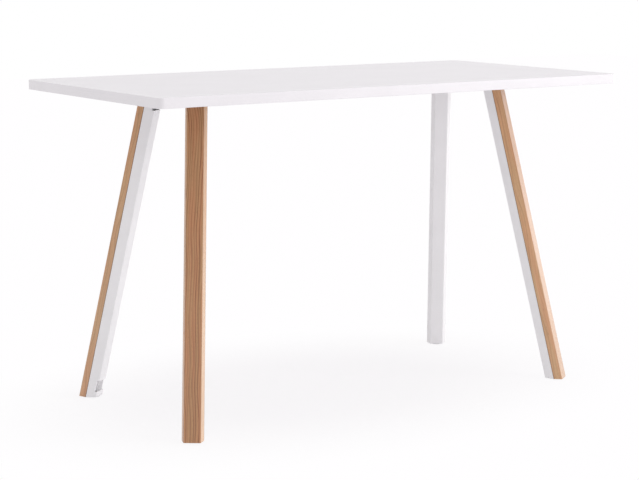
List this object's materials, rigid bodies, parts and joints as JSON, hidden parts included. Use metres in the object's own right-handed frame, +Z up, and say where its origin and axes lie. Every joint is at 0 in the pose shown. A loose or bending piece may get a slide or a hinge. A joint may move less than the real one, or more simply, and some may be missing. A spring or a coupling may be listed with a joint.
{
  "type": "high table",
  "caption": "High rectangular table: white laminated top on splayed legs, each half wood and half white hollow profile, with levelling glides and a cable channel in one leg.",
  "frame": {"origin": "on the floor, under the middle of the top", "axes": "+X along the length of the top, +Y across it to the rear, +Z up"},
  "size_m": [1.8, 0.9, 1.075],
  "materials": {
    "core_board": "matte",
    "white_laminate": "satin",
    "backing_laminate": "matte",
    "edge_band": "satin",
    "leg_wood": "satin",
    "white_lacquer": "satin",
    "coated_steel": "satin",
    "zinc_steel": "satin",
    "brass_insert": "satin",
    "brass_bush": "satin",
    "foot_plastic": "matte",
    "glide_plastic": "matte"
  },
  "bodies": {
    "table": {"tabletop_core": "core_board", "tabletop_upper_laminate": "white_laminate", "tabletop_lower_laminate": "backing_laminate", "tabletop_edge_band": "edge_band", "left_bridge_plate": "coated_steel", "right_bridge_plate": "coated_steel", "front_left_leg_wood": "leg_wood", "front_left_leg_profile": "white_lacquer", "front_left_leg_head_fitting": "coated_steel", "front_left_foot_plug": "foot_plastic", "front_left_foot_bush": "brass_bush", "front_right_leg_wood": "leg_wood", "front_right_leg_profile": "white_lacquer", "front_right_leg_head_fitting": "coated_steel", "front_right_foot_plug": "foot_plastic", "front_right_foot_bush": "brass_bush", "rear_left_leg_wood": "leg_wood", "rear_left_leg_profile": "white_lacquer", "rear_left_leg_head_fitting": "coated_steel", "rear_left_foot_plug": "foot_plastic", "rear_left_foot_bush": "brass_bush", "rear_right_leg_wood": "leg_wood", "rear_right_leg_profile": "white_lacquer", "rear_right_leg_head_fitting": "coated_steel", "rear_right_foot_plug": "foot_plastic", "rear_right_foot_bush": "brass_bush", "threaded_inserts": "brass_insert", "top_fixing_screws": "zinc_steel", "leg_head_bolts": "zinc_steel", "spigot_screws": "zinc_steel", "wood_lock_screws": "zinc_steel"},
    "front_left_glide": {"front_left_glide_stud": "zinc_steel", "front_left_glide_pad": "glide_plastic"},
    "front_right_glide": {"front_right_glide_stud": "zinc_steel", "front_right_glide_pad": "glide_plastic"},
    "rear_left_glide": {"rear_left_glide_stud": "zinc_steel", "rear_left_glide_pad": "glide_plastic"},
    "rear_right_glide": {"rear_right_glide_stud": "zinc_steel", "rear_right_glide_pad": "glide_plastic"}
  },
  "joints": [
    {"name": "front_left_glide_height", "type": "slide", "parent": "table", "child": "front_left_glide", "axis": [0, 0, 1], "range_m": [-0.012, 0]},
    {"name": "front_right_glide_height", "type": "slide", "parent": "table", "child": "front_right_glide", "axis": [0, 0, 1], "range_m": [-0.012, 0]},
    {"name": "rear_left_glide_height", "type": "slide", "parent": "table", "child": "rear_left_glide", "axis": [0, 0, 1], "range_m": [-0.012, 0]},
    {"name": "rear_right_glide_height", "type": "slide", "parent": "table", "child": "rear_right_glide", "axis": [0, 0, 1], "range_m": [-0.012, 0]}
  ]
}
